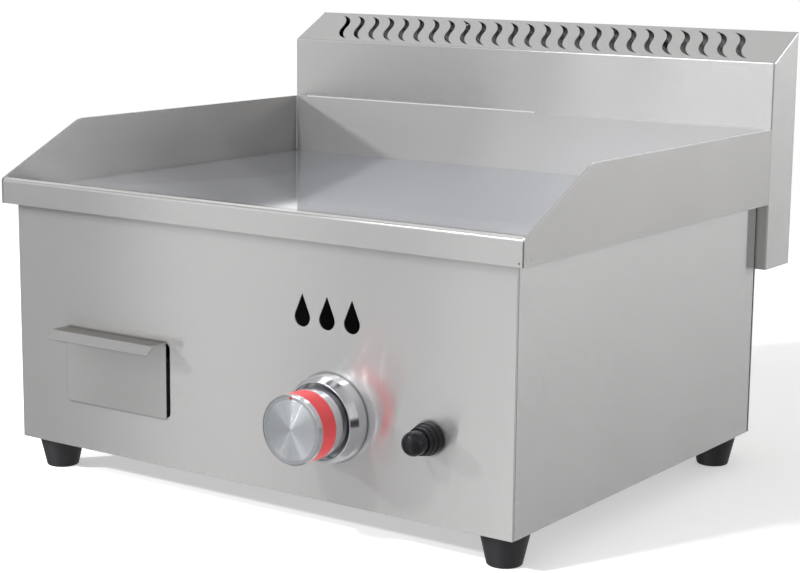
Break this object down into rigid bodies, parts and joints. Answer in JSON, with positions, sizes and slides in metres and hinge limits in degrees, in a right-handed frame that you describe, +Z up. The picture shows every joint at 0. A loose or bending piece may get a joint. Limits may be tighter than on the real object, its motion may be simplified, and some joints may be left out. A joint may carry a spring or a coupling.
{
  "type": "countertop gas griddle",
  "caption": "Countertop gas griddle with a polished plate, splash guards, a slotted rear flue, a pull-out grease drawer, a push-and-turn gas knob and a push igniter.",
  "frame": {"origin": "middle of the outline seen from above, at the bottom of the feet", "axes": "+X to the right seen from the front, +Y to the rear flue, +Z up"},
  "size_m": [0.5, 0.4774, 0.3638],
  "materials": {
    "body_steel": "fine brushed stainless sheet",
    "plate_steel": "polished, near mirror",
    "inner_steel": "dull galvanised sheet",
    "burner_steel": "dull, heat darkened",
    "fastener_steel": "zinc plated",
    "knob_chrome": "polished chrome",
    "knob_aluminium": "spun, circular brushed",
    "knob_red": "satin red",
    "igniter_black": "glossy black",
    "igniter_case": "matte black",
    "foot_rubber": "matte dark rubber",
    "gas_brass": "machined",
    "pipe_aluminium": "drawn tube",
    "ceramic": null,
    "lead_rubber": "silicone rubber"
  },
  "bodies": {
    "griddle": {"front_panel": "body_steel", "right_side_panel": "body_steel", "left_side_panel": "body_steel", "rear_panel": "body_steel", "rear_panel_screws": "fastener_steel", "base_plate": "inner_steel", "front_rim": "body_steel", "griddle_plate": "plate_steel", "right_splash": "body_steel", "left_splash": "body_steel", "rear_splash": "body_steel", "flue_hood": "body_steel", "flue_back": "body_steel", "flue_screws": "fastener_steel", "drain_spout": "inner_steel", "drawer_runner_right": "inner_steel", "drawer_runner_left": "inner_steel", "burner_tube_right": "burner_steel", "burner_tube_left": "burner_steel", "burner_cross_tube": "burner_steel", "mixing_tube": "burner_steel", "air_shutter": "burner_steel", "burner_bar_front": "inner_steel", "burner_bar_rear": "inner_steel", "heat_shield": "inner_steel", "valve_bonnet": "gas_brass", "bonnet_screws": "fastener_steel", "valve_body": "gas_brass", "injector": "gas_brass", "supply_pipe": "pipe_aluminium", "inlet_fitting": "gas_brass", "inlet_nut": "gas_brass", "knob_bezel": "knob_chrome", "igniter_body": "igniter_case", "igniter_nut": "igniter_black", "electrode_bracket": "inner_steel", "electrode_ceramic": "ceramic", "electrode_rod": "fastener_steel", "ignition_lead": "lead_rubber", "foot_front_left": "foot_rubber", "foot_front_right": "foot_rubber", "foot_rear_left": "foot_rubber", "foot_rear_right": "foot_rubber", "foot_screws": "fastener_steel", "foot_nuts": "fastener_steel"},
    "valve_plug": {"valve_plug": "gas_brass"},
    "knob": {"valve_stem": "fastener_steel", "knob_body": "knob_chrome", "knob_ring": "knob_red", "knob_face": "knob_aluminium", "knob_index": "knob_red"},
    "igniter_button": {"igniter_button": "igniter_black"},
    "grease_drawer": {"drawer_front": "body_steel", "drawer_tray": "inner_steel"}
  },
  "joints": [
    {"name": "knob_turn", "type": "hinge", "parent": "griddle", "child": "valve_plug", "pos_m": [0.082, -0.1897, 0.0915], "axis": [0, -1, 0], "range_deg": [0, 180]},
    {"name": "knob_push", "type": "slide", "parent": "valve_plug", "child": "knob", "axis": [0, 1, 0], "range_m": [0, 0.004], "stiffness_N_per_m": 600},
    {"name": "igniter_push", "type": "slide", "parent": "griddle", "child": "igniter_button", "axis": [0, 1, 0], "range_m": [0, 0.006], "stiffness_N_per_m": 300},
    {"name": "drawer_slide", "type": "slide", "parent": "griddle", "child": "grease_drawer", "axis": [0, -1, 0], "range_m": [0, 0.19]}
  ]
}
